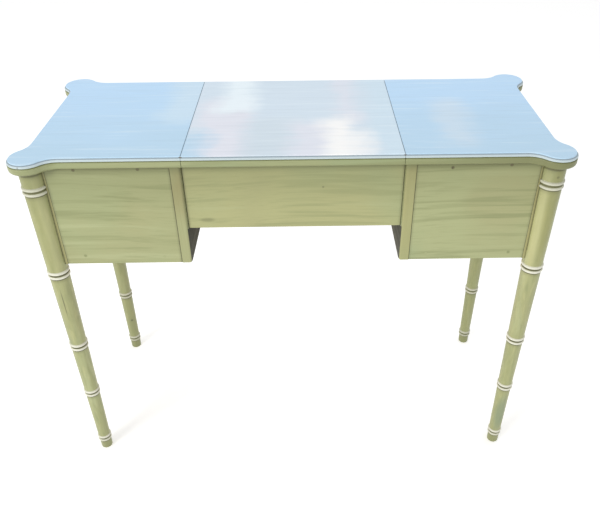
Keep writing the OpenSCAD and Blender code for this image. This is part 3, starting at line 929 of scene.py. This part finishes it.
# Pale patches, painted reflections on the glossy top: between which x, between which y, which paint, how
# strong. BEYOND is past every edge.
BEYOND = 0.30
WHOLE = (-BEYOND, BEYOND)
LID_REFLECTIONS = [
    (WHOLE, WHOLE, SKY_PALE, 0.9),
    ((-0.180, -0.085), (-BEYOND, 0.075), SKY_ROSE, 0.85),
    ((-0.090, 0.000), (-BEYOND, -0.030), SKY_GREY, 0.8),
    ((-0.010, 0.070), (-BEYOND, -0.045), SKY_ROSE, 0.75),
    ((0.150, BEYOND), WHOLE, SKY_MILK, 0.8),
    ((-BEYOND, -0.158), (-BEYOND, -0.085), SKY_DEEP, 0.9),
    ((-0.150, -0.075), (0.010, BEYOND), SKY_CYAN, 0.9),
    ((0.085, 0.120), (-0.060, BEYOND), SKY_ROSE, 0.7),
    ((0.055, 0.105), (-BEYOND, -0.025), SKY_WHITE, 1.0),
    ((0.060, 0.140), (-BEYOND, -0.095), SKY_WHITE, 0.8),
]
SIDE_REFLECTIONS = [
    ((-0.255, -0.100), (-0.030, BEYOND), SKY_MILK, 0.7),
    ((0.275, 0.335), (-0.150, 0.060), SKY_PALE, 0.55),
]


def top_face(s, lid, hairs):
    """Sky-blue face, in part a painted reflection of the sky and deeper towards the near edge, with pale
    patches of painted reflection and brush strokes.
    """
    cloud = s.pattern((4.0, 5.0, 4.0), detail=2.0, shift=1.0)
    depth = s.plus(s.times(cloud, 0.3), s.y)
    strokes = s.pattern((7.0, 110.0, 5.0), detail=3.0, shift=6.0)
    # Painted reflection: the blue deeper towards the near edge
    face = s.tinted(SKY, SKY_DEEP, depth, 0.25, 0.0)
    for x, y, tint, strength in LID_REFLECTIONS if lid else SIDE_REFLECTIONS:
        face = painted_reflection(s, face, x, y, tint, strength)
    face = s.tinted(face, SKY_CYAN, strokes, 0.54, 0.74, 0.22)
    face = s.tinted(face, LINE_BLUE, strokes, 0.46, 0.28, 0.08)
    face = s.tinted(face, LINE_BLUE, hairs, 0.55, 0.75, 0.08)
    from_seam = s.absolute(s.minus(s.absolute(s.x), (LID_HIGH.x + PANEL_LOW.x) / 2))
    return s.tinted(face, LINE_BLUE, from_seam, 1.5 * MM, 0.7 * MM, 0.25)


def top_underside(s, edge):
    """Bare wood under the top, with the paint of the edge lapping 30 mm round it."""
    inward = s.minus(LONG_EDGE, s.absolute(s.y))
    wrap = s.plus(inward, s.times(s.pattern(30.0, detail=3.0, shift=14.0), 30 * MM))
    grain = s.pattern((1.6, 40.0, 26.0), detail=4.0, shift=15.0, warp=0.8)
    raw = s.tinted(BARE_PALE, BARE_DEEP, s.math("FRACT", s.times(grain, 6.0)), 0.3, 0.95)
    return s.tinted(raw, edge, wrap, 34 * MM, 30 * MM)


def top_paint(name, lid):
    """Sky-blue face with painted reflections, ivory bead between two dark lines, sage edge with painted
    shade, and a bare underside.
    """
    s = Shader(name)
    up = s.times(s.minus(s.z, UNDER_TOP), 1 / MM)
    hairs = s.pattern((9.0, 420.0, 5.0), detail=2.0, shift=8.0)
    edge, height = sage_paint(s, "X", 31.0, 0.8)
    # Painted shade on the sage edge: darker towards the right, and darker all along, most of all at its
    # foot
    edge = s.tinted(edge, SHADE, s.x, 0.10, 0.50)
    edge = s.blend(s.scaled(s.smooth(up, 5.0, 0.5), 0.25, 0.8), edge, SHADE)
    ragged = s.plus(up, s.times(s.pattern((60.0, 60.0, 200.0), detail=2.0, shift=3.0), 0.8))
    colour = s.tinted(edge, SHADE, ragged, QUIRK - 0.6, QUIRK - 0.1, 0.7)
    colour = s.tinted(colour, IVORY_SKY, up, QUIRK + 0.3, QUIRK + 0.8)
    colour = spot(s, colour, (-LEG_X - 5 * MM, -LEG_Y - LOBE_R, UNDER_TOP + 17 * MM), 2.5 * MM, 0.5)
    colour = s.tinted(colour, LINE_BLUE, up, BEAD_Z + BEAD_R - 0.4, BEAD_Z + BEAD_R)
    colour = s.tinted(colour, top_face(s, lid, hairs), up, FACE_FROM, FACE_FROM + 0.6)
    colour = s.tinted(colour, top_underside(s, edge), s.times(s.facing[2], -1.0), 0.80, 0.95)
    rough = s.scaled(s.pattern(14.0, detail=3.0, shift=7.0), 0.32, 0.48)
    relief = s.plus(s.times(hairs, 0.4), s.times(height, 0.4))
    return s.finish(colour, rough, relief, 0.06)


# How far past the ends of a panel a leaf may lie and still be let into it
LEAF_REACH = 2 * MM


def leaf_slots(piece, node):
    """Let each leaf of a hinge node into a panel or the lid, where it lies in that piece."""
    first, last = piece.bound_box[0][0] - LEAF_REACH, piece.bound_box[6][0] + LEAF_REACH
    for low, high in islands(node):
        if low.x > first and high.x < last:
            cut(piece, box_tool(low, high))


def make_top():
    side_paint = top_paint("side_panel_paint", lid=False)
    for side in SIDES:
        name = "top_panel_" + side
        piece = new_piece("moulded_" + name, lofted(side_outline, SIGN[side]), side_paint, "table",
                          name, sharp=28)
        leaf_slots(piece, "top_hinge_leaves")
    lid = new_piece("moulded_lid", lofted(lid_outline, 1), top_paint("lid_paint", lid=True), "lid",
                    "lid", sharp=28)
    leaf_slots(lid, "lid_hinge_leaves")


# ---- Boards, rails, drawers, hardware ----

# Which way the unpainted sides of the boards at the back and at the front are turned
INWARD_BACK = (1, 1)
INWARD_FRONT = (1, -1)

ROUND_OVER = 6 * MM
EASED = 0.5 * MM
CORNER_R = 2 * MM
ROUND_STEPS, CORNER_STEPS = 6, 4


def board_outline(inset):
    """Side view of an inner board: its top stays where it is, its ends and foot move in."""
    y, foot = BOARD_END - inset, CASE_BOTTOM + inset
    right = arc(y - CORNER_R, foot + CORNER_R, CORNER_R, -math.pi / 2, 0, CORNER_STEPS)
    left = [(-py, pz) for py, pz in right[::-1]]
    return [(-y, INNER_HIGH.z)] + left + right + [(y, INNER_HIGH.z)]


def inner_board(side, paint):
    """The inner board of a case, with its edges towards the middle rounded over."""
    node = f"case_inner_side_{side}"
    rounded = arc(ROUND_OVER, ROUND_OVER, -ROUND_OVER, 0, math.pi / 2, ROUND_STEPS)
    thick = INNER_HIGH.x - INNER_LOW.x
    mesh = bmesh.new()
    rings = []
    for depth, inset in rounded + [(thick - EASED, 0.0), (thick, EASED)]:
        x = SIGN[side] * (INNER_LOW.x + depth)
        rings.append([mesh.verts.new((x, y, z)) for y, z in board_outline(inset)])
    skin(mesh, rings)
    piece = new_piece("rounded_" + node, mesh, paint, "table", node, sharp=30)
    even_normals(piece, keep_sharp=True)


# The height between the two rows of nails
NAIL_ROWS_PART = CASE_BOTTOM + 100 * MM


def nail_marks(side):
    """Stains round the nail heads of one back panel: faint below, and fainter near the middle."""
    marks = []
    for low, high in islands("back_panel_nails"):
        middle = (low + high) / 2
        if middle.x * SIGN[side] > 0:
            near_leg = abs(middle.x) > CASE_MIDDLE
            below = 0.35 if near_leg else 0.08
            depth = 0.65 if middle.z > NAIL_ROWS_PART else below
            marks.append(((middle.x, low.y, middle.z), 4.5 * MM, depth, 1.0))
    return marks


# The two cases differ a little, in the paint of their panels and of the ends of their inner boards
PANEL_BASE = {"left": SAGE, "right": SAGE_LIGHT}
END_WARMTH = {"left": 0.0, "right": 0.5}


def paint_case(side, number):
    """The boards, rails and runners of one case. number sets its noise apart from the other's."""
    toward_middle = (0, -SIGN[side])
    shift = 4.0 * number
    inner_board(side, board_paint(f"case_inner_side_{side}", "Y", end_axis="Z", dusky=toward_middle,
                                  shift=shift + 1, beside_apron=True, warm_ends=END_WARMTH[side]))
    paint_board(f"case_outer_side_{side}", "Y", end_axis="Z", near_legs=True, dusky=toward_middle,
                shift=shift + 2, warm_ends=0.7)
    paint_board(f"case_back_panel_{side}", "X", joints="XZ", marks=nail_marks(side), dusky=INWARD_BACK,
                shift=shift + 3, base=PANEL_BASE[side], free_foot=20 * MM)
    paint_board(f"front_rails_{side}", "X", joints="X", dusky=INWARD_FRONT, shift=shift)
    cover(f"rear_rails_{side}", bare_wood(f"case_wood_{side}", "X", 2.0 * number))
    cover(f"drawer_runners_{side}", bare_wood(f"runner_wood_{side}", "Y", 2.0 * number + 1))
    for node in ("case_outer_side", "case_back_panel", "front_rails"):
        soften(f"{node}_{side}")
    for node in ("rear_rails", "drawer_runners"):
        soften(f"{node}_{side}", 0.5)


# Stains on the back apron: where, how far they reach, how strong, how flat
APRON_MARKS = [
    ((53 * MM, APRON_LOW.y, 694 * MM), 3 * MM, 0.4, 1.0),
    ((-162 * MM, APRON_LOW.y, 627 * MM), 18 * MM, 0.3, 3.0),
]


def paint_aprons():
    paint_board("back_apron", "X", joints="X", marks=APRON_MARKS, dusky=INWARD_BACK, shift=8.4, line=1.2,
                base=SAGE_WARM, strength=0.55)
    paint_board("front_apron", "X", joints="X", dusky=INWARD_FRONT, shift=9.7, line=1.4)
    cover("well_bottom", bare_wood("well_wood", "X", 6.0))
    cover("well_cleats", bare_wood("cleat_wood", "Y", 7.0))
    for node in ("back_apron", "front_apron", "well_bottom", "well_cleats"):
        soften(node)


def knob_paint():
    """Ivory enamel, worn at the rim, with glaze in the hollows of the turning."""
    s = Shader("knob_paint")
    wear = s.pattern(60.0, detail=4.0)
    colour = s.tinted(IVORY, IVORY_WORN, wear, 0.56, 0.68, 0.5)
    off = s.minus(s.y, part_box("upper_right_drawer_front")[1].y)
    colour = s.tinted(colour, GLAZE, off, 3.0 * MM, 0.5 * MM)
    return s.finish(colour, s.scaled(wear, 0.2, 0.4), wear, 0.05)


def paint_drawer(drawer, shift, knob, steel):
    paint_board(f"{drawer}_drawer_front", "X", joints="XZ", dusky=INWARD_FRONT, shift=shift)
    lengthways = bare_wood(f"{drawer}_side_wood", "Y", shift)
    crossways = bare_wood(f"{drawer}_cross_wood", "X", shift + 1)
    for part in ("drawer_side_outer", "drawer_side_inner"):
        cover(f"{drawer}_{part}", lengthways)
    for part in ("drawer_back", "drawer_bottom"):
        cover(f"{drawer}_{part}", crossways)
    for part in ("drawer_front", "drawer_side_outer", "drawer_side_inner", "drawer_back"):
        soften(f"{drawer}_{part}", 0.6)
    cover(f"{drawer}_knob", knob)
    cover(f"{drawer}_knob_screw", steel)


def paint_drawers():
    knob = knob_paint()
    steel = worn_metal("drawer_steel", STEEL, STEEL_DULL, 0.4)
    for number, (level, side) in enumerate((a, b) for a in LEVELS for b in SIDES):
        paint_drawer(f"{level}_{side}", 20.0 + 3.0 * number, knob, steel)


def nail_paint():
    """Nail heads worn to dark iron along the upper row, and painted over along the lower one."""
    s = Shader("nail_paint")
    wear = s.pattern(400.0, detail=2.0)
    worn = s.tinted(GLAZE, IRON, wear, 0.4, 0.6)
    lower = s.tinted(SAGE, STREAK, s.absolute(s.x), CASE_MIDDLE - 1 * MM, CASE_MIDDLE + 1 * MM)
    colour = s.tinted(lower, worn, s.z, NAIL_ROWS_PART - 10 * MM, NAIL_ROWS_PART + 10 * MM)
    return s.finish(colour, s.scaled(wear, 0.4, 0.7), wear, 0.05)


HINGE_NODES = ("lid_hinge_leaves", "top_hinge_leaves", "hinge_pins", "lid_hinge_screws",
               "top_hinge_screws")


def paint_hardware():
    brass = worn_metal("aged_brass", BRASS, BRASS_DULL, 0.35)
    steel = worn_metal("dark_steel", DARK_STEEL, DARK_STEEL_DULL, 0.5)
    for node in HINGE_NODES:
        cover(node, brass)
    cover("leg_screws", steel)
    cover("back_panel_nails", nail_paint())
    cover("top_dowels", bare_wood("dowel_wood", "Z", 3.0))


make_legs()
make_top()
for number, side in enumerate(SIDES):
    paint_case(side, number)
paint_aprons()
paint_drawers()
paint_hardware()
